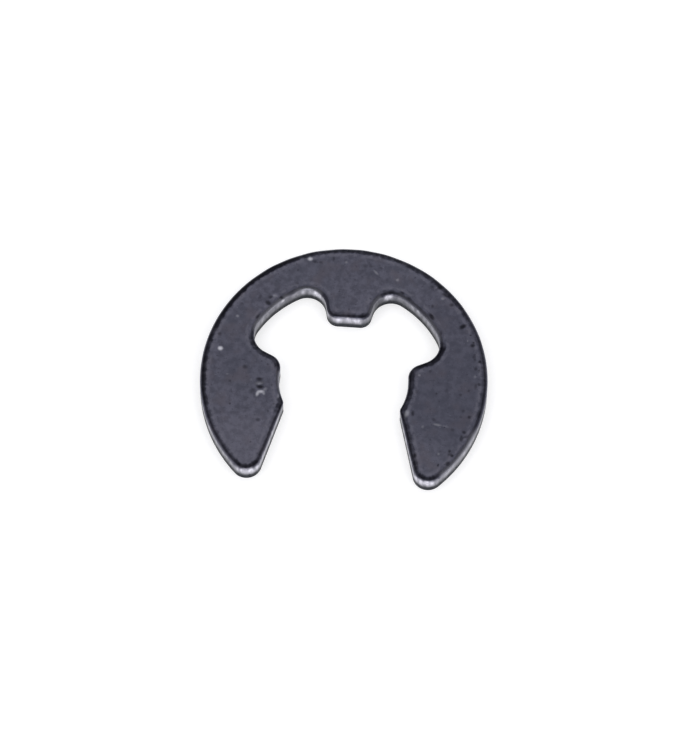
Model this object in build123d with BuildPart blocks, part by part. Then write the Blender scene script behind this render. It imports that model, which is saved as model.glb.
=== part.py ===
"""E clip: a retaining ring stamped from spring-steel strip and pushed sideways into a shaft groove.

Millimetres. The origin is the centre of the shaft's groove, on the clip's underside. +Z points
up through the strip, +Y towards the tab, and the mouth that the shaft enters by opens at -Y.
The clip was blanked from below, so the edge of its top face is drawn over in a die roll, while
the edge underneath is sheared square and only broken by tumbling.
"""

import os
from math import cos, radians, sin, tan

from build123d import *

os.makedirs("parts", exist_ok=True)

# Strip
thickness = 0.70
die_roll_r = 0.12
sheared_edge_r = 0.03

# Rim
rim_d = 9.00

# Seat: two grips and the end of the tab close round the bottom of the shaft's groove
groove_d = 4.00
grip_play = 0.02  # between each grip and the groove
grip_drop = 0.06  # the grips are centred this far from the groove's axis, towards the mouth
grip_wrap = 26.3  # degrees that each grip reaches past the groove's widest point
toe_r = 0.18  # where each grip ends at the mouth

# Tab
tab_play = 0.06  # between the tab's end and the groove
tab_end_w = 1.27
tab_taper = 13.2  # degrees that each side leans out towards the root
tab_corner_r = 0.36
tab_root_r = 0.60

# Relief pockets, which thin the ring so that it can spring
pocket_d = 6.48
pocket_rise = 0.09  # the pockets are centred this far from the groove's axis, towards the tab
pocket_end_r = 0.65

# Arms
shoulder_drop = 0.44  # the shoulders' lines, run on, cross this far below the groove's axis
shoulder_slope = 25.3  # degrees that each shoulder climbs outwards
lobe_r = 0.48  # between the shoulder and the grip
flare = 15.5  # degrees that each lead-in edge leans out towards its tip
tip_r = 0.48

rim_r = rim_d / 2
grip_r = groove_d / 2 + grip_play
pocket_r = pocket_d / 2
far = rim_d  # past the rim, from anywhere inside it
tab_end_y = groove_d / 2 + tab_play


def outline(*points):
    """A face bounded by straight lines through these points."""
    with BuildSketch() as plan:
        with BuildLine():
            Polyline(*points, close=True)
        make_face()
    return plan.sketch


def pocket():
    """The relief pockets: a circle inside the rim, down to the shoulders of the arms."""
    climb = far * tan(radians(shoulder_slope))
    below = outline((0, -shoulder_drop), (far, climb - shoulder_drop), (far, -far), (0, -far))
    with BuildSketch() as plan:
        with Locations((0, pocket_rise)):
            Circle(pocket_r)
        add(below, mode=Mode.SUBTRACT)
    return plan.sketch


def seat():
    """The shaft's way in and its place: the mouth between the flared edges, and the grips' circle."""
    toe_x = grip_r * cos(radians(grip_wrap))
    toe_y = -grip_drop - grip_r * sin(radians(grip_wrap))
    flare_x = toe_x + far * tan(radians(flare))
    with BuildSketch() as plan:
        with Locations((0, -grip_drop)):
            Circle(grip_r)
        add(outline((0, toe_y), (toe_x, toe_y), (flare_x, toe_y - far), (0, toe_y - far)))
    return plan.sketch


def tab():
    """The tab, run on into the ring behind it."""
    end_x = tab_end_w / 2
    root_y = pocket_rise + pocket_r
    root_x = end_x + (root_y - tab_end_y) * tan(radians(tab_taper))
    return outline((0, tab_end_y), (end_x, tab_end_y), (root_x, root_y), (0, root_y))


def fitted(length, *radii):
    """The radii at the two ends of an edge, made smaller together where it is too short for them."""
    share = min(1, length / sum(radii))
    return [radius * share for radius in radii]


def right_half():
    """The plan's right half. Its six corners are rounded, in order from the mouth to the ring."""
    roof_y = pocket_rise + (pocket_r**2 - (tab_end_w / 2 + tab_root_r) ** 2) ** 0.5
    shoulder_radii = fitted(pocket_r - grip_r, lobe_r, pocket_end_r)
    tab_radii = fitted(roof_y - tab_end_y, tab_corner_r, tab_root_r)
    radii = (tip_r, toe_r, *shoulder_radii, *tab_radii)
    with BuildSketch() as plan:
        Circle(rim_r)
        add(pocket(), mode=Mode.SUBTRACT)
        add(seat(), mode=Mode.SUBTRACT)
        add(tab())
        split(bisect_by=Plane.YZ)
        corners = plan.vertices().sort_by(Axis.X)[2:].sort_by(Axis.Y)
        for corner, radius in zip(corners, radii):
            fillet(plan.vertices().sort_by_distance(corner)[0], radius=radius)
    return plan.sketch


with BuildPart() as e_clip:
    with BuildSketch():
        add(right_half())
        mirror(about=Plane.YZ)
    extrude(amount=thickness)
    fillet(e_clip.faces().sort_by(Axis.Z)[-1].edges(), radius=die_roll_r)
    fillet(e_clip.faces().sort_by(Axis.Z)[0].edges(), radius=sheared_edge_r)
e_clip.part.label = "e_clip"
export_step(e_clip.part, "parts/e_clip.step")
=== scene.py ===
"""Looks of the e clip: a fine mesh of it, its dark phosphate finish, and a pale studio.

Everything is in metres in the CAD's frame. The plan and the section across an edge are written
in millimetres, as on the clip's drawing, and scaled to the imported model's box. The mesh carries
what the finish depends on as attributes of its points.
"""
import math
import random
import bpy
import numpy as np
from mathutils import Matrix, Vector
from mathutils.geometry import delaunay_2d_cdt
from mathutils.kdtree import KDTree


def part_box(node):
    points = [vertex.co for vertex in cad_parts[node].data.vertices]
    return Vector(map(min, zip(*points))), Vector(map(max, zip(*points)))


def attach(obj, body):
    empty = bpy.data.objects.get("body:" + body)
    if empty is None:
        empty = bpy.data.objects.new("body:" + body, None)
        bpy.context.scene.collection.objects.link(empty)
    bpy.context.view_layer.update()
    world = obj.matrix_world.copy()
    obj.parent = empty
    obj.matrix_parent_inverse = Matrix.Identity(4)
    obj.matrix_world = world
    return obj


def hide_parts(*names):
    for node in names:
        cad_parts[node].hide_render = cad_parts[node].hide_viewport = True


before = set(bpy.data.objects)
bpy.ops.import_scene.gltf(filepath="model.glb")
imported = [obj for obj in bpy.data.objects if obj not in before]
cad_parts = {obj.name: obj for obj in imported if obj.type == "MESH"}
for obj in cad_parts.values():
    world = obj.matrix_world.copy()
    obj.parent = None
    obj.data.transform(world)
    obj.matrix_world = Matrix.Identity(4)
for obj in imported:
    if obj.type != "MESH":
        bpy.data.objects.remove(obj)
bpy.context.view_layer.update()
MM = 0.001

# ---------------------------------------------------------------- the plan, in millimetres
RIM_R = 4.50
GRIP_R, GRIP_Y = 2.02, -0.06
POCKET_R, POCKET_Y = 3.24, 0.09
TAB_HALF, TAB_END_Y, TAB_TAPER = 0.635, 2.06, 13.2
SHOULDER_Y, SHOULDER_SLOPE = -0.44, 25.3
GRIP_WRAP, FLARE = 26.3, 15.5
TIP_R, TOE_R, LOBE_R = 0.48, 0.18, 0.48
POCKET_END_R, TAB_ROOT_R, TAB_CORNER_R = 0.65, 0.60, 0.36
STEP = 0.030                  # between points along the outline
CORNER_STEP = STEP * 0.7      # and round its corners


def line(x, y, degrees):
    """A line through a point, running in that direction."""
    a = math.radians(degrees)
    return ("line", np.array([x, y]), np.array([math.cos(a), math.sin(a)]))


def arc(x, y, r, turn):
    """A circle run anticlockwise for turn 1 and clockwise for turn -1."""
    return ("arc", np.array([x, y]), r, turn)


def offset(e, d):
    """The element moved d to its right."""
    if e[0] == "line":
        return ("line", e[1] + d * np.array([e[2][1], -e[2][0]]), e[2])
    return ("arc", e[1], e[2] + d * e[3], e[3])


def foot(e, q):
    """The element's point nearest to q."""
    if e[0] == "line":
        return e[1] + e[2] * np.dot(q - e[1], e[2])
    return e[1] + (q - e[1]) / np.linalg.norm(q - e[1]) * e[2]


def meet(a, b, near):
    """Where two elements cross, at the crossing nearest to a point."""
    if a[0] == "line" and b[0] == "line":
        t = np.linalg.solve(np.array([a[2], -b[2]]).T, b[1] - a[1])
        return a[1] + a[2] * t[0]
    if a[0] == "line":
        a, b = b, a
    if b[0] == "line":
        middle = foot(b, a[1])
        along = b[2]
        reach = a[2] ** 2 - np.sum((middle - a[1]) ** 2)
    else:
        between = b[1] - a[1]
        gap = np.linalg.norm(between)
        x = (gap**2 + a[2] ** 2 - b[2] ** 2) / (2 * gap)
        middle = a[1] + between / gap * x
        along = np.array([-between[1], between[0]]) / gap
        reach = a[2] ** 2 - x**2
    h = math.sqrt(max(reach, 0.0))
    return min((middle + along * h, middle - along * h), key=lambda q: np.linalg.norm(q - near))


def arc_points(centre, r, start, end, turn, step):
    """Points and outward normals of an arc; the steel is on the right of the way round."""
    a = math.atan2(*(start - centre)[::-1])
    b = math.atan2(*(end - centre)[::-1])
    if turn > 0 and b < a:
        b += 2 * math.pi
    if turn < 0 and b > a:
        b -= 2 * math.pi
    n = max(4, math.ceil(abs(b - a) * r / step))
    t = np.linspace(a, b, n + 1)
    out = np.c_[np.cos(t), np.sin(t)]
    return centre + r * out, -turn * out


def line_points(start, end, step):
    """Points and outward normals of a line."""
    d = end - start
    length = np.linalg.norm(d)
    n = max(2, math.ceil(length / step))
    t = np.linspace(0, 1, n + 1)[:, None]
    normal = np.array([-d[1], d[0]]) / length
    return start + t * d, np.repeat(normal[None], n + 1, 0)


def half_plan():
    """The right half's outline, clockwise from the rim's top to the middle of the tab's end."""
    wrap = math.radians(-GRIP_WRAP)
    toe = np.array([math.cos(wrap), math.sin(wrap)]) * GRIP_R + (0, GRIP_Y)
    elements = [
        arc(0, 0, RIM_R, -1),
        line(*toe, 90 + FLARE),
        arc(0, GRIP_Y, GRIP_R, 1),
        line(0, SHOULDER_Y, SHOULDER_SLOPE),
        arc(0, POCKET_Y, POCKET_R, 1),
        line(TAB_HALF, TAB_END_Y, -90 - TAB_TAPER),
        line(0, TAB_END_Y, 180),
    ]
    # Each corner's radius, 1 if it sticks out or -1 if it goes in, and about where it is.
    corners = [
        (TIP_R, 1, (2.6, -3.7)),
        (TOE_R, 1, (1.8, -0.9)),
        (LOBE_R, 1, (1.9, 0.5)),
        (POCKET_END_R, -1, (3.1, 1.0)),
        (TAB_ROOT_R, -1, (0.9, 3.2)),
        (TAB_CORNER_R, 1, (0.6, 2.1)),
    ]
    points, normals = [], []
    at = np.array([0.0, RIM_R])
    for (r, way, near), a, b in zip(corners, elements, elements[1:]):
        centre = meet(offset(a, r * way), offset(b, r * way), np.array(near))
        leave, join = foot(a, centre), foot(b, centre)
        if a[0] == "line":
            p, n = line_points(at, leave, STEP)
        else:
            p, n = arc_points(a[1], a[2], at, leave, a[3], STEP)
        points += [p[:-1]]
        normals += [n[:-1]]
        p, n = arc_points(centre, r, leave, join, -way, CORNER_STEP)
        points += [p[:-1]]
        normals += [n[:-1]]
        at = join
    p, n = line_points(at, np.array([0.0, TAB_END_Y]), STEP)
    return np.vstack(points + [p]), np.vstack(normals + [n])


right_p, right_n = half_plan()
mirror = np.array([-1.0, 1.0])
plan = np.vstack([right_p, (right_p * mirror)[-2:0:-1]])
out = np.vstack([right_n, (right_n * mirror)[-2:0:-1]])
seg = np.linalg.norm(np.roll(plan, -1, 0) - plan, axis=1)
along = np.r_[0, np.cumsum(seg)[:-1]]
around = seg.sum()

# ---------------------------------------------------------------- the section across an edge
THICK = 0.70
TURN = 40                     # degrees of steepness at which the die roll's radius changes
ROLL_FACE_R, ROLL_WALL_R = 0.168, 0.110
BREAK = 0.020                 # the tumbled edge underneath
FRACTURE_Z = 0.26             # below this the strip tore instead of being sheared
ROLL_ROWS, WALL_ROWS, BREAK_ROWS = 14, 12, 3
TIP_AT, TOE_AT = (2.72, -3.15), (1.80, -0.97)
TOP_SPACING, UNDER_SPACING = 0.034, 0.075    # of the points that fill the two faces

# Unevenness along the outline: a seed, the longest and shortest wave in millimetres, and how many.
ROLL_WANDER = (3, 3.0, 0.5, 16)
TEAR_LINE = (4, 1.5, 0.3, 12)
WALL_WAVES = (5, 0.8, 0.12, 16)
TORN_WAVES = (7, 0.40, 0.09, 24)
ROLL_SHADE_DASHES = (21, 0.8, 0.15, 32)
HIGHLIGHT_WAVES = (22, 0.9, 0.18, 24)


def roll_at(steep, face_r, wall_r):
    """How far in and down the die roll is where it is that steep: 90 at the face, 0 at the wall."""
    n, turn = math.radians(steep), math.radians(TURN)
    if steep > TURN:
        inset = wall_r * (1 - math.cos(turn)) + face_r * (math.cos(turn) - math.cos(n))
        return inset, face_r * (1 - math.sin(n))
    down = face_r * (1 - math.sin(turn)) + wall_r * (math.sin(turn) - math.sin(n))
    return wall_r * (1 - math.cos(n)), down


def waves(s, z, seed, longest, shortest, count):
    """Smooth seeded unevenness along the outline that closes on itself, between about -1 and 1."""
    rng = np.random.RandomState(seed)
    total = np.zeros_like(s)
    for _ in range(count):
        turns = round(around / math.exp(rng.uniform(math.log(shortest), math.log(longest))))
        phase = rng.uniform(0, 2 * math.pi)
        slant = rng.uniform(-6, 6)
        total += np.sin(2 * math.pi * turns * s / around + phase + slant * z)
    return total / math.sqrt(count / 2) / 2


def smooth(a, b, x):
    """From 0 where x is at a to 1 where it is at b, easing in and out."""
    t = np.clip((x - a) / (b - a), 0, 1)
    return t * t * (3 - 2 * t)


# Marks on the top face: x, y, long and short radius in millimetres, the long one's direction, the
# depth, and how the coat looks there, from -1 darkest to 1 palest. Later rows lie on top.
MARKS = (
    (-2.60, -0.40, 0.19, 0.17, 0, 0.022, 0.00),      # the dent on the left arm
    # its walls, painted dark: painted shade in the dent
    (-2.59, -0.50, 0.13, 0.08, 0, 0.010, -1.00),
    (-2.63, -0.23, 0.12, 0.065, 0, 0.000, -0.95),
    (-2.62, -0.37, 0.15, 0.07, 10, 0.000, 0.16),
    (-2.65, -0.73, 0.11, 0.055, 75, 0.000, 0.50),    # its lip, painted pale
    (-2.55, -0.66, 0.12, 0.060, 5, 0.000, 0.56),
    (-2.46, -0.71, 0.07, 0.045, -60, 0.000, 0.30),
    (-2.43, -0.57, 0.09, 0.055, 40, 0.000, 0.14),
    (-2.80, -0.64, 0.12, 0.09, 60, 0.004, -0.45),
    (-2.00, -0.78, 0.11, 0.045, 70, 0.000, 0.13),
    (-1.20, 3.94, 0.08, 0.07, 0, 0.006, -0.60),      # pits along the top
    (-1.01, 3.93, 0.07, 0.05, 0, 0.006, -0.55),
    (-0.61, 4.08, 0.10, 0.05, 85, 0.006, -0.50),
    (0.39, 3.91, 0.09, 0.08, 0, 0.006, -0.40),
    (0.57, 3.90, 0.07, 0.06, 0, 0.006, -0.40),
    (1.62, 3.05, 0.10, 0.06, -35, 0.008, -0.80),
    (1.86, 2.87, 0.10, 0.05, -20, 0.006, -0.60),
    (2.55, 3.32, 0.11, 0.09, 0, 0.004, -0.35),
    (3.20, 2.75, 0.08, 0.07, 0, 0.008, -0.60),
    (2.92, 1.76, 0.09, 0.06, 80, 0.006, -0.50),
    (-1.71, 3.16, 0.09, 0.06, 0, 0.004, -0.35),
    (-2.82, 2.60, 0.08, 0.06, 60, 0.006, -0.45),
    (-2.81, 1.96, 0.09, 0.06, 50, 0.006, -0.50),
    (-3.38, 2.31, 0.07, 0.06, 0, 0.006, -0.40),
    (-3.99, 1.23, 0.07, 0.06, 0, 0.006, -0.50),
    (-2.37, 2.66, 0.09, 0.06, 0, 0.002, 0.14),
    (-3.48, 1.88, 0.06, 0.05, 0, 0.002, 0.18),
    (1.44, 3.49, 0.06, 0.06, 0, 0.002, 0.16),
    (2.91, 2.95, 0.07, 0.06, 0, 0.002, 0.16),
    (4.01, 1.01, 0.08, 0.06, 90, 0.006, -0.40),      # and along the right arm
    (4.09, 0.61, 0.08, 0.06, 70, 0.006, -0.60),
    (4.09, 0.33, 0.06, 0.05, 90, 0.002, 0.10),
    (4.13, 0.00, 0.11, 0.05, 85, 0.006, -0.45),
    (3.68, -0.32, 0.07, 0.06, 0, 0.006, -0.40),
    (3.80, -0.87, 0.08, 0.06, 40, 0.006, -0.45),
    (3.73, -1.07, 0.06, 0.05, 0, 0.006, -0.40),
    (2.90, -1.22, 0.09, 0.06, -30, 0.006, -0.45),
    (3.51, -1.53, 0.08, 0.06, 0, 0.006, -0.40),
    (2.68, 0.42, 0.07, 0.05, 60, 0.006, -0.40),
    (3.23, -0.20, 0.09, 0.08, 0, 0.004, -0.25),
    (2.30, -0.30, 0.09, 0.06, 80, 0.004, -0.35),
    (2.57, -1.49, 0.06, 0.05, 80, 0.002, 0.10),
    (2.39, -2.48, 0.10, 0.07, 80, 0.006, -0.90),
    (3.43, -2.68, 0.10, 0.08, 60, 0.008, -0.85),
    (-3.93, 0.73, 0.09, 0.08, 0, 0.004, 0.75),       # bright specks
    (-1.35, 4.02, 0.09, 0.07, 0, 0.004, 0.60),
    (-2.08, 2.52, 0.09, 0.07, 90, 0.004, 0.80),      # nicks at the pockets' edges
    (-1.77, 2.73, 0.08, 0.06, 60, 0.004, 0.50),
    (2.14, 2.48, 0.07, 0.05, -30, 0.004, 0.50),
    (2.30, 2.30, 0.07, 0.05, -30, 0.004, 0.50),
    (0.75, 3.70, 0.13, 0.04, -45, 0.002, 0.16),
    (2.05, -1.07, 0.15, 0.08, 75, 0.004, 0.26),      # a facet at the right toe
    (2.23, -1.05, 0.11, 0.05, 90, 0.004, -0.80),
    (2.60, 2.30, 0.16, 0.08, -50, 0.014, -1.00),     # pits
    (2.60, 2.66, 0.08, 0.05, 90, 0.006, -0.60),
    (2.80, 3.33, 0.10, 0.08, 0, 0.012, -1.00),
    (3.00, 3.08, 0.14, 0.07, -20, 0.010, -0.80),
    (3.60, 2.03, 0.14, 0.08, 35, 0.014, -1.00),
    (3.95, 1.40, 0.08, 0.07, 0, 0.010, -0.85),
    (3.80, -1.82, 0.11, 0.07, 80, 0.010, -0.65),
    (-2.55, 2.40, 0.13, 0.09, -30, 0.012, -0.90),
    (-2.50, 2.61, 0.08, 0.06, 0, 0.008, -0.60),
    (-2.85, 1.90, 0.10, 0.06, 60, 0.008, -0.80),
    (-2.15, 2.62, 0.08, 0.05, 0, 0.008, -0.80),
    (-3.11, 0.15, 0.09, 0.08, 0, 0.006, -0.60),
    (-2.57, -1.63, 0.09, 0.07, 0, 0.006, -0.55),
    (3.02, -1.39, 0.16, 0.045, -8, 0.002, 0.16),     # a scratch
    (3.28, -1.43, 0.14, 0.035, -8, 0.001, 0.07),
)
RIM_PITS, FACE_PITS, SPECKS = 26, 44, 16

# The finish by place: x, y, how far it reaches, and its value there. Later rows lie on top.
ROLL_SHADE = 0.80                   # painted shade: the dark line the die roll reflects; below 0 the roll is painted paler instead
ROLL_SHADE_AT = (
    (-3.2, 3.1, 2.4, 1.00), (-4.5, 0.0, 2.0, 0.88), (4.4, 0.5, 2.6, 0.42),
    (-3.8, -2.3, 1.6, 0.42), (3.7, -2.4, 1.6, -0.60), (-2.15, -2.2, 1.1, 0.20),
    (2.2, -2.2, 1.2, 0.65), (-2.7, -3.3, 0.7, 0.72), (2.7, -3.3, 0.7, 0.62),
    (-2.0, -0.3, 0.6, -0.45), (2.0, -0.3, 0.8, 0.85), (2.6, 0.8, 0.7, 0.95),
    (-2.4, 2.1, 1.2, -0.80), (2.4, 2.1, 1.1, -0.60), (-1.3, 2.95, 0.7, -0.55),
    (1.95, 2.70, 0.85, -0.25), (1.10, 3.15, 0.35, 0.60), (-0.7, 2.5, 0.5, 0.10),
    (0.75, 2.6, 0.55, -0.50), (0.0, 2.06, 0.5, 0.38), (3.0, 1.0, 0.5, 1.00),
)
BURNISH_AND_HIGHLIGHT = 0.16                  # how bright the sheared band below it is: partly its burnish, mostly a painted highlight
BURNISH_AND_HIGHLIGHT_AT = (
    (-2.1, -2.2, 1.1, 0.32), (2.2, -2.2, 1.1, 0.32), (3.7, -2.4, 1.2, 0.24),
    (-3.7, -2.4, 1.2, 0.20), (-2.7, -3.4, 0.6, 0.46), (-2.68, -3.70, 0.3, 1.00),
    (2.7, -3.4, 0.6, 0.48), (2.62, -3.70, 0.35, 0.84), (0.0, 2.06, 0.6, 0.50),
    (-1.2, 3.05, 0.6, 0.28), (1.14, 3.18, 0.32, 0.78), (0.75, 2.6, 0.5, 0.045),
    (-0.7, 2.5, 0.4, 0.20), (-0.95, 2.95, 0.3, 0.48),
)
FACE_LIGHTNESS_AT = (                 # how much lighter, or darker below 0, the faces are made by place
    (0.0, 4.2, 1.4, -0.4), (-4.1, 0.8, 1.8, -0.4), (-2.8, -3.0, 2.0, 0.8),
    (3.6, 0.4, 3.6, -1.0), (2.7, -3.2, 1.6, 0.2),
)


def by_place(value, places, at):
    """A value at each point, drawn towards each place's own value near it."""
    total = np.full(len(at), value)
    for x, y, reach, aim in places:
        near = smooth(reach, reach / 2, np.hypot(at[:, 0] - x, at[:, 1] - y))
        total += (aim - total) * near
    return total


def all_marks():
    """The marks seen in the photograph, then seeded small ones of the same kinds."""
    rng = random.Random(11)
    found = list(MARKS)
    for i in range(RIM_PITS + FACE_PITS + SPECKS):
        turn = rng.uniform(-0.75, 0.95) if i < RIM_PITS else rng.uniform(0, math.tau)
        far = rng.uniform(4.12, 4.32) if i < RIM_PITS else rng.uniform(1.9, 4.2)
        r = rng.uniform(0.03, 0.06)
        tone = rng.uniform(-0.6, -0.25) if i < RIM_PITS + FACE_PITS else rng.uniform(0.05, 0.16)
        if i < RIM_PITS:
            r, tone = 1.25 * r, 1.6 * tone
        place = (far * math.cos(turn), far * math.sin(turn))
        found.append((*place, r, r * rng.uniform(0.5, 1.0), rng.uniform(0, 180), 0.1 * r, tone))
    return found


def roll_radii():
    """The die roll's radius towards the face and towards the wall, all along the outline."""
    x, y = abs(plan[:, 0]), plan[:, 1]
    rim = smooth(2.6, 4.2, np.hypot(x, y))
    tips = smooth(0.9, 0.3, np.hypot(x - TIP_AT[0], y - TIP_AT[1]))
    tab = smooth(0.55, 0.30, x) * smooth(2.6, 2.2, y)
    toes = smooth(0.7, 0.1, np.hypot(x - TOE_AT[0], y - TOE_AT[1]))
    tip_swell = np.where(plan[:, 0] < 0, 0.7, 0.4)
    wander = 1 + 0.08 * waves(along, 0 * along, *ROLL_WANDER)
    face_share = 0.86 + 0.14 * rim + 0.10 * tips
    wall_share = 0.9 + 0.1 * rim + tip_swell * tips + 0.5 * tab
    face_r = ROLL_FACE_R * face_share * (1 - 0.35 * toes) * wander
    wall_r = ROLL_WALL_R * wall_share * (1 - 0.35 * toes) * wander
    return face_r, wall_r


def section_rows():
    """Rows from the face to the underside: how far in, how high, and 0 to 1 round the roll."""
    n = len(plan)
    face_r, wall_r = roll_radii()
    rows = []
    for i in range(ROLL_ROWS + 1):
        steep = 90 * (1 - i / ROLL_ROWS)
        inset, down = roll_at(steep, face_r, wall_r)
        rows.append((inset, THICK - down, np.full(n, 1 - steep / 90)))
    top = THICK - roll_at(0, face_r, wall_r)[1]
    for i in range(1, WALL_ROWS):
        z = top + (BREAK - top) * i / WALL_ROWS
        tear = z + 0.04 * waves(along, 0 * z, *TEAR_LINE)
        torn = smooth(FRACTURE_Z + 0.05, FRACTURE_Z - 0.05, tear)
        push = 0.002 + 0.003 * waves(along, z, *WALL_WAVES)
        push = push + torn * (0.003 + 0.007 * waves(along, z * 3, *TORN_WAVES))
        rows.append((np.maximum(push, 0), z, np.ones(n)))
    for i in range(BREAK_ROWS + 1):
        t = math.radians(90 * i / BREAK_ROWS)
        inset, z = BREAK * (1 - math.cos(t)), BREAK * (1 - math.sin(t))
        rows.append((np.full(n, inset), np.full(n, z), np.ones(n)))
    return rows


def build_clip():
    """The clip's vertices, its faces, and the fields that its finish depends on."""
    n = len(plan)
    rows = section_rows()
    verts = np.vstack([np.c_[plan - out * push[:, None], z] for push, z, _ in rows])
    edge_in = np.concatenate([push for push, _, _ in rows])
    roll_shade = by_place(ROLL_SHADE, ROLL_SHADE_AT, plan)
    dashes = smooth(-0.80, 0.40, waves(along, 0 * along, *ROLL_SHADE_DASHES))
    gaps = 0.10 + 0.85 * roll_shade**2
    roll_shade = np.where(roll_shade > 0, roll_shade * (dashes + (1 - dashes) * gaps), roll_shade)
    flicker = 1 + 0.30 * waves(along, 0 * along, *HIGHLIGHT_WAVES)
    burnish_highlight = by_place(BURNISH_AND_HIGHLIGHT, BURNISH_AND_HIGHLIGHT_AT, plan) * flicker
    roll_shades, bright = np.tile(roll_shade, len(rows)), np.tile(burnish_highlight, len(rows))
    roll = np.concatenate([t for _, _, t in rows])
    drop = np.concatenate([(THICK - z) / THICK for _, z, _ in rows])
    faces = []
    for r in range(len(rows) - 1):
        a = np.arange(n) + r * n
        b = np.roll(np.arange(n), -1) + r * n
        faces += np.c_[a, b, b + n, a + n].tolist()
    last = (len(rows) - 1) * n
    tree = KDTree(n)
    for i, p in enumerate(plan):
        tree.insert((*p, 0), i)
    tree.balance()
    for first, spacing, up in ((0, TOP_SPACING, True), (last, UNDER_SPACING, False)):
        edge = verts[first:first + n, :2]
        inner = grid_inside(edge, spacing, all_marks() if up else ())
        tris = fill(edge, inner)
        z = verts[first, 2]
        base = len(verts)
        verts = np.vstack([verts, np.c_[inner, np.full(len(inner), z)]])
        nearest = [tree.find((*p, 0)) for p in inner]
        edge_in = np.r_[edge_in, [found[2] for found in nearest]]
        roll_shades = np.r_[roll_shades, [roll_shade[found[1]] for found in nearest]]
        bright = np.r_[bright, [burnish_highlight[found[1]] for found in nearest]]
        roll = np.r_[roll, np.zeros(len(inner)) if up else np.ones(len(inner))]
        drop = np.r_[drop, np.full(len(inner), 0.0 if up else 1.0)]
        index = np.r_[np.arange(n) + first, np.arange(len(inner)) + base]
        tris = index[tris]
        if not up:
            tris = tris[:, ::-1]
        faces += tris.tolist()
    fields = {
        "edge": edge_in,      # how far in from the outline, in millimetres
        "roll": roll,         # 0 on the face to 1 on the wall
        "drop": drop,         # 0 at the top to 1 underneath
        "roll_shade": roll_shades,        # painted shade on the die roll's line, or how much paler it is below 0
        "burnish_highlight": bright,      # the sheared band's burnish and painted highlight
        "tone": mark(verts),  # -1 in the darkest mark to 1 in the palest
        "face_lightness": by_place(0.0, FACE_LIGHTNESS_AT, verts),
    }
    return verts, faces, fields


def mark(verts):
    """Sinks the marks into the top face, and says how dark or pale each vertex is there."""
    x, y, z = verts.T
    top = z > THICK - 0.2
    sink, tone = np.zeros(len(verts)), np.zeros(len(verts))
    for px, py, long, short, degrees, depth, look in all_marks():
        c, s = math.cos(math.radians(degrees)), math.sin(math.radians(degrees))
        u, v = ((x - px) * c + (y - py) * s) / long, ((y - py) * c - (x - px) * s) / short
        d = np.hypot(u, v)
        sink = np.maximum(sink, depth * smooth(1.0, 0.1, d) * top)
        here = smooth(1.25, 0.25, d) * top
        tone = tone + (look - tone) * here * (1.0 if look else 0.0)
    verts[:, 2] -= sink
    return tone


def rings(x, y, r, spacing):
    """Points close enough for a mark: its middle, and rings out to a third beyond its edge."""
    points = [(x, y)]
    step = min(0.35 * r, 0.8 * spacing)
    for i in range(1, math.ceil(1.35 * r / step) + 1):
        count = max(6, round(math.tau * i))
        for k in range(count):
            a = math.tau * (k + i / 2) / count
            points.append((x + i * step * math.cos(a), y + i * step * math.sin(a)))
    return points


def inside_of(edge, q):
    """Which of the points lie inside a closed outline."""
    inside = np.zeros(len(q), bool)
    for (x0, y0), (x1, y1) in zip(edge, np.roll(edge, -1, 0)):
        if y0 == y1:
            continue
        hit = (q[:, 1] >= min(y0, y1)) & (q[:, 1] < max(y0, y1))
        hit &= q[:, 0] < x0 + (q[:, 1] - y0) / (y1 - y0) * (x1 - x0)
        inside ^= hit
    return inside


def grid_inside(edge, spacing, holes=()):
    """An even triangular grid inside a closed outline and clear of it, denser at each mark."""
    lo, hi = edge.min(0), edge.max(0)
    ys = np.arange(lo[1], hi[1], spacing * math.sqrt(3) / 2)
    xs = np.arange(lo[0], hi[0], spacing)
    x, y = np.meshgrid(xs, ys)
    x = x + (np.arange(len(ys)) % 2)[:, None] * spacing / 2
    q = np.c_[x.ravel(), y.ravel()]
    keep = np.ones(len(q), bool)
    extra, taken = [], []
    for hx, hy, r, *_ in holes:
        if all(math.hypot(hx - tx, hy - ty) > 1.6 * (r + tr) for tx, ty, tr in taken):
            keep &= np.hypot(q[:, 0] - hx, q[:, 1] - hy) > 1.5 * r
            extra += rings(hx, hy, r, spacing)
            taken.append((hx, hy, r))
    q = q[keep]
    if extra:
        q = np.vstack([q, extra])
    q = q[inside_of(edge, q)]
    keep = np.ones(len(q), bool)
    for p in edge:
        near = (abs(q[:, 0] - p[0]) < spacing) & (abs(q[:, 1] - p[1]) < spacing)
        keep[near] &= np.hypot(*(q[near] - p).T) > spacing * 0.6
    return q[keep]


def fill(edge, inner):
    """Triangles over a closed outline and the points inside it, anticlockwise."""
    n = len(edge)
    points = [Vector(p) for p in np.vstack([edge, inner])]
    loop = list(range(n))
    _, _, tris, origin, _, _ = delaunay_2d_cdt(points, [], [loop], 1, 1e-7)
    origin = [o[0] for o in origin]
    tris = np.array([[origin[i] for i in t] for t in tris])
    p = np.vstack([edge, inner])[tris]
    area = np.cross(p[:, 1] - p[:, 0], p[:, 2] - p[:, 0])
    tris[area < 0] = tris[area < 0][:, ::-1]
    return tris


verts, faces, fields = build_clip()
low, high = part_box("e_clip")
size = min(high.x, -low.x, high.y) / (RIM_R * MM)
scale = np.array([size, size, high.z / (THICK * MM)]) * MM
mesh = bpy.data.meshes.new("e_clip_steel")
mesh.from_pydata((verts * scale).tolist(), [], faces)
mesh.validate()
mesh.shade_smooth()
for name, values in fields.items():
    mesh.attributes.new(name, "FLOAT", "POINT").data.foreach_set("value", values.astype(np.float32))
clip = bpy.data.objects.new("e_clip_steel", mesh)
bpy.context.scene.collection.objects.link(clip)


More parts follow.
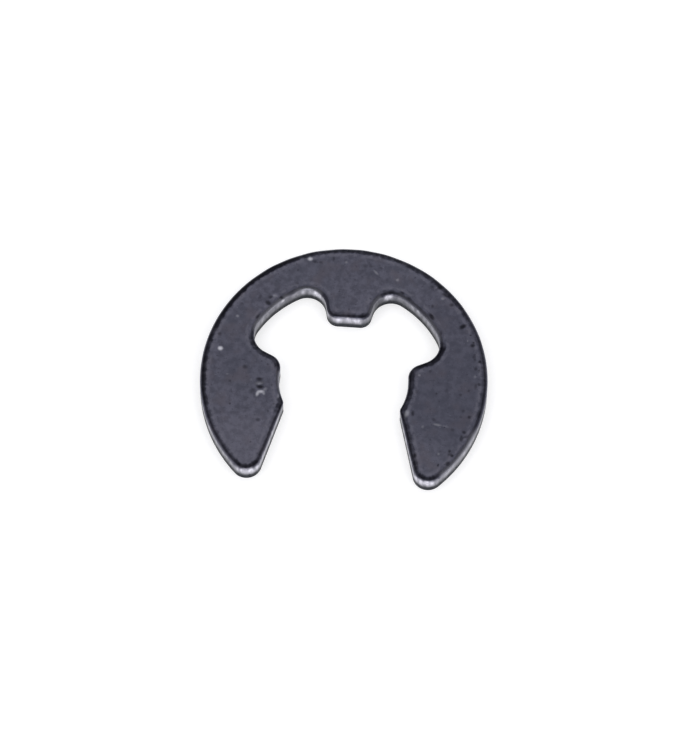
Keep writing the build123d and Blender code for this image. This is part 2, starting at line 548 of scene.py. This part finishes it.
# ---------------------------------------------------------------- the finish
class Tree:
    """A node tree written from scratch. Its calls take values or the outputs of other nodes."""

    def __init__(self, tree):
        self.tree = tree
        tree.nodes.clear()

    def node(self, kind, inputs=(), **settings):
        """A new node with its inputs linked or set."""
        made = self.tree.nodes.new(kind)
        for key, value in settings.items():
            setattr(made, key, value)
        for key, value in dict(inputs).items():
            if isinstance(value, bpy.types.NodeSocket):
                self.tree.links.new(value, made.inputs[key])
            else:
                made.inputs[key].default_value = value
        return made

    def math(self, operation, *values, clamp=False):
        """One step of arithmetic."""
        inputs = dict(enumerate(values))
        made = self.node("ShaderNodeMath", inputs, operation=operation, use_clamp=clamp)
        return made.outputs[0]

    def above_zero(self, value, share):
        """That share of the value, where it is more than 0."""
        return self.math("MAXIMUM", self.math("MULTIPLY", value, share), 0.0)

    def stretch(self, vector, *by):
        """The vector with its x, y and z times those."""
        made = self.node("ShaderNodeVectorMath", {0: vector, 1: by}, operation="MULTIPLY")
        return made.outputs[0]

    def ramp(self, value, a, b, to_a=0.0, to_b=1.0):
        """Eases from to_a where the value is a to to_b where it is b."""
        inputs = {"Value": value, "From Min": a, "From Max": b, "To Min": to_a, "To Max": to_b}
        return self.node("ShaderNodeMapRange", inputs, interpolation_type="SMOOTHSTEP").outputs[0]

    def mix(self, factor, a, b):
        """Colour a where the factor is 0, and b where it is 1."""
        made = self.node("ShaderNodeMix", data_type="RGBA")
        for socket, value in ((made.inputs[0], factor), (made.inputs[6], a), (made.inputs[7], b)):
            if isinstance(value, bpy.types.NodeSocket):
                self.tree.links.new(value, socket)
            else:
                socket.default_value = value
        return made.outputs[2]

    def noise(self, vector, scale, detail=2.0, rough=0.5):
        """Uneven values, mostly between 0.3 and 0.7."""
        inputs = {"Vector": vector, "Scale": scale, "Detail": detail, "Roughness": rough}
        return self.node("ShaderNodeTexNoise", inputs).outputs["Fac"]


# Colours of the coat on the faces, of what lies on it, and of the edge.
COAT_DARK, COAT_LIGHT = (0.067, 0.067, 0.090, 1), (0.102, 0.101, 0.134, 1)
COAT_COOL, COAT_WARM = (0.070, 0.073, 0.098, 1), (0.092, 0.084, 0.104, 1)
PORE, GLINT = (0.040, 0.040, 0.054, 1), (0.15, 0.15, 0.19, 1)
FACE_LIGHTER, FACE_DARKER = (0.150, 0.145, 0.182, 1), (0.045, 0.047, 0.068, 1)
# A broken pale line on the top face, just inside the die roll's dark line.
PALE_RIM_LINE = (0.135, 0.132, 0.165, 1)
# Painted shade on the die roll's line, and the roll painted paler where its value is below 0.
BLACK_LINE, PALE_LINE = (0.011, 0.011, 0.016, 1), (0.34, 0.34, 0.38, 1)
PIT, SCRAPED = (0.012, 0.012, 0.016, 1), (0.62, 0.62, 0.68, 1)
# The sheared band, from dull to a painted highlight that is partly its burnish.
SHEARED_DARK, SHEARED_HIGHLIGHT = (0.0, 0.001, 0.018, 1), (1.0, 0.985, 1.09, 1)
# The torn band at the foot of the wall: dark from its own dullness and from painted shade.
TORN_AND_SHADED = (0.014, 0.017, 0.024, 1)


def coat(t, mm, patchy, ragged, drop, face_lightness):
    """The mottled phosphate coat, and a broken pale line on the top face just inside the die roll.
    """
    fine = t.noise(mm, 4.5, 4.0, 0.62)
    broad = t.noise(mm, 0.8, 2.0)
    warm = t.noise(mm, 1.7, 3.0)
    speck = t.noise(mm, 14.0, 2.0, 0.5)
    face = t.mix(t.ramp(fine, 0.34, 0.66), COAT_DARK, COAT_LIGHT)
    face = t.mix(t.ramp(broad, 0.40, 0.60, 0.0, 0.30), face, COAT_COOL)
    face = t.mix(t.ramp(warm, 0.50, 0.70, 0.0, 0.6), face, COAT_WARM)
    face = t.mix(t.ramp(speck, 0.345, 0.285, 0.0, 0.6), face, PORE)
    face = t.mix(t.ramp(speck, 0.69, 0.76, 0.0, 0.6), face, GLINT)
    # The faces made lighter or darker by place.
    face = t.mix(t.above_zero(face_lightness, 0.30), face, FACE_LIGHTER)
    face = t.mix(t.above_zero(face_lightness, -0.30), face, FACE_DARKER)
    pale_rim = t.math("MULTIPLY", t.ramp(ragged, 0.185, 0.235), t.ramp(ragged, 0.345, 0.265))
    pale_rim = t.math("MULTIPLY", pale_rim, t.ramp(patchy, 0.42, 0.60, 0.10, 0.55))
    pale_rim = t.math("MULTIPLY", pale_rim, t.ramp(drop, 0.6, 0.4))
    return t.mix(pale_rim, face, PALE_RIM_LINE)


def sheared_wall(t, place, burnish_highlight, wavy):
    """The sheared band with a painted highlight, streaked from top to bottom, and below it the torn
    band, dark with painted shade.
    """
    streaks = t.noise(t.stretch(place, 1000, 1000, 250), 7.0, 3.0, 0.6)
    streaked_highlight = t.math("MULTIPLY", burnish_highlight, t.ramp(streaks, 0.36, 0.64, 0.68, 1.32))
    sheared = t.mix(streaked_highlight, SHEARED_DARK, SHEARED_HIGHLIGHT)
    # Lower down, the wall is painted dark: the torn band's dullness plus painted shade from the
    # floor at its foot.
    return t.mix(t.ramp(wavy, 0.33, 0.79), sheared, TORN_AND_SHADED)


def steel():
    """Hardened steel under a dark phosphate coat, with painted shade on the die roll and painted
    highlights on the bare sheared band below it.
    """
    material = bpy.data.materials.new("phosphated_steel")
    material.use_nodes = True
    t = Tree(material.node_tree)
    place = t.node("ShaderNodeTexCoord").outputs["Object"]
    mm = t.stretch(place, 1000, 1000, 1000)
    names = ("roll", "drop", "edge", "roll_shade", "burnish_highlight", "tone", "face_lightness")
    roll, drop, edge, roll_shade, burnish_highlight, tone, face_lightness = (
        t.node("ShaderNodeAttribute", attribute_name=name).outputs["Fac"] for name in names
    )
    patchy = t.noise(mm, 6.0, 3.0, 0.6)

    # How far in from the edge and how far down, both made uneven.
    ragged = t.math("MULTIPLY_ADD", patchy, 0.15, t.math("MULTIPLY_ADD", roll_shade, -0.030, edge))
    ragged = t.math("ADD", ragged, -0.060)
    wavy = t.math("ADD", drop, t.math("MULTIPLY_ADD", patchy, 0.12, -0.06))
    wavy = t.math("MULTIPLY_ADD", burnish_highlight, 0.07, wavy)

    face = coat(t, mm, patchy, ragged, drop, face_lightness)
    # The line on the die roll is painted shade, for the dark the roll reflects; where its value is
    # below 0 the roll is painted paler.
    roll_zone = t.math("MULTIPLY", t.ramp(ragged, 0.205, 0.150), t.ramp(roll, 0.55, 0.36))
    black = t.math("MULTIPLY", t.math("MAXIMUM", roll_shade, 0.0), roll_zone)
    colour = t.mix(black, face, BLACK_LINE)
    paler_roll = t.math("MULTIPLY", t.above_zero(roll_shade, -1.0), t.ramp(roll, 0.05, 0.40))
    colour = t.mix(paler_roll, colour, PALE_LINE)
    wall = sheared_wall(t, place, burnish_highlight, wavy)
    colour = t.mix(t.ramp(wavy, 0.085, 0.235), colour, wall)
    under = t.ramp(drop, 0.985, 0.999)
    colour = t.mix(under, colour, face)
    colour = t.mix(t.above_zero(tone, -0.9), colour, PIT)
    colour = t.mix(t.math("MAXIMUM", tone, 0.0), colour, SCRAPED)

    torn = t.math("MULTIPLY", t.ramp(wavy, 0.55, 0.80), t.math("SUBTRACT", 1.0, under))
    grain = t.noise(mm, 30.0, 2.0, 0.6)
    bump = t.node("ShaderNodeBump", {"Strength": 0.5, "Distance": 4e-6, "Height": grain})
    inputs = {
        "Base Color": colour,
        "Metallic": t.math("MULTIPLY_ADD", torn, -0.95, 1.0),
        "Roughness": t.ramp(roll, 0.05, 0.3, 0.46, 0.42),
        "Normal": bump.outputs[0],
        "Specular IOR Level": 0.05,
    }
    shader = t.node("ShaderNodeBsdfPrincipled", inputs)
    t.node("ShaderNodeOutputMaterial", {"Surface": shader.outputs[0]})
    return material


mesh.materials.append(steel())
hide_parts("e_clip")
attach(clip, "root")

# ---------------------------------------------------------------- camera
# Where the photograph was taken from, solved from the clip's outline in it.
CAMERA_AZIMUTH, CAMERA_ELEVATION, CAMERA_LEAN = 3.71, 65.708, 0.468
CAMERA_DISTANCE = 0.2048
AIM_X, AIM_Y = -0.117 * MM, 0.359 * MM       # the picture's middle, from the clip's origin
LENS = 313.4


def toward(azimuth, elevation):
    """The way from the clip towards there, in degrees; azimuth 0 is the mouth's side."""
    a, e = math.radians(azimuth), math.radians(elevation)
    return Vector((math.sin(a) * math.cos(e), -math.cos(a) * math.cos(e), math.sin(e)))


back = toward(CAMERA_AZIMUTH, CAMERA_ELEVATION)
turn = (-back).to_track_quat("-Z", "Y")
turn = turn @ Matrix.Rotation(math.radians(CAMERA_LEAN), 3, "Z").to_quaternion()
camera = bpy.data.objects.new("camera", bpy.data.cameras.new("camera"))
bpy.context.scene.collection.objects.link(camera)
camera.rotation_mode = "QUATERNION"
camera.rotation_quaternion = turn
camera.location = back * CAMERA_DISTANCE + turn @ Vector((AIM_X, AIM_Y, 0))
camera.data.lens = LENS
camera.data.sensor_width = 36
camera.data.clip_start = 0.005
camera.data.clip_end = 50
bpy.context.scene.camera = camera

# ---------------------------------------------------------------- studio
# Soft boxes: azimuth, elevation, distance, width, height, radiance, and whether gloss shows them.
LAMPS = {
    "overhead": (183.7, 66, 0.6, 0.42, 0.36, 1.70, True),
    "front": (3.7, 8, 0.6, 0.40, 0.12, 6.0, True),
    "fill": (60, 55, 0.7, 0.5, 0.5, 2.0, False),
    "fill_left": (-60, 55, 0.7, 0.5, 0.5, 2.0, False),
}
HORIZON, ZENITH = (0.85, 0.85, 0.87, 1), (0.22, 0.22, 0.235, 1)
FLOOR_R, FLOOR_SIDES = 2.0, 64
FLOOR_COLOUR = (0.55, 0.55, 0.56, 1)
FLOOR_SEEN, FLOOR_MIRRORED = 0.60, 0.80      # its glow, which leaves it white but for a shadow


def lamp(name, azimuth, elevation, distance, width, height, radiance, glossy):
    """A soft box that faces the clip from that side."""
    way = toward(azimuth, elevation)
    data = bpy.data.lights.new(name, "AREA")
    data.shape = "RECTANGLE"
    data.size, data.size_y = width, height
    data.energy = radiance * math.pi * width * height
    made = bpy.data.objects.new(name, data)
    bpy.context.scene.collection.objects.link(made)
    made.location = way * distance
    made.rotation_mode = "QUATERNION"
    made.rotation_quaternion = way.to_track_quat("Z", "Y")
    made.visible_glossy = glossy


def sky():
    """A pale surround at the level of the floor that darkens overhead."""
    world = bpy.data.worlds.new("studio")
    bpy.context.scene.world = world
    world.use_nodes = True
    t = Tree(world.node_tree)
    way = t.node("ShaderNodeTexCoord").outputs["Generated"]
    up = t.node("ShaderNodeSeparateXYZ", {0: way}).outputs[2]
    shade = t.mix(t.ramp(up, 0.05, 0.40), HORIZON, ZENITH)
    background = t.node("ShaderNodeBackground", {"Color": shade, "Strength": 1.0})
    t.node("ShaderNodeOutputWorld", {"Surface": background.outputs[0]})


def paper():
    """The floor's material: plain and pale from above, and clear from below."""
    material = bpy.data.materials.new("pale_floor")
    material.use_nodes = True
    t = Tree(material.node_tree)
    rays = t.node("ShaderNodeLightPath").outputs
    mirrored = t.math("ADD", rays["Is Glossy Ray"], rays["Is Transmission Ray"], clamp=True)
    mirrored = t.math("MULTIPLY", mirrored, FLOOR_MIRRORED)
    seen = t.math("MULTIPLY_ADD", rays["Is Camera Ray"], FLOOR_SEEN, mirrored)
    glow = t.node("ShaderNodeEmission", {"Color": (1, 1, 1, 1), "Strength": seen})
    matt = t.node("ShaderNodeBsdfDiffuse", {"Color": FLOOR_COLOUR})
    above = t.node("ShaderNodeAddShader", {0: glow.outputs[0], 1: matt.outputs[0]})
    below = t.node("ShaderNodeBsdfTransparent")
    behind = t.node("ShaderNodeNewGeometry").outputs["Backfacing"]
    sides = {0: behind, 1: above.outputs[0], 2: below.outputs[0]}
    both = t.node("ShaderNodeMixShader", sides)
    t.node("ShaderNodeOutputMaterial", {"Surface": both.outputs[0]})
    return material


for name, settings in LAMPS.items():
    lamp(name, *settings)
sky()
floor_mesh = bpy.data.meshes.new("floor")
angles = [math.tau * i / FLOOR_SIDES for i in range(FLOOR_SIDES)]
ring = [(FLOOR_R * math.cos(a), FLOOR_R * math.sin(a), low.z) for a in angles]
floor_mesh.from_pydata(ring, [], [tuple(range(FLOOR_SIDES))])
floor_mesh.materials.append(paper())
floor = bpy.data.objects.new("floor", floor_mesh)
bpy.context.scene.collection.objects.link(floor)
bpy.context.scene.view_settings.view_transform = "Standard"
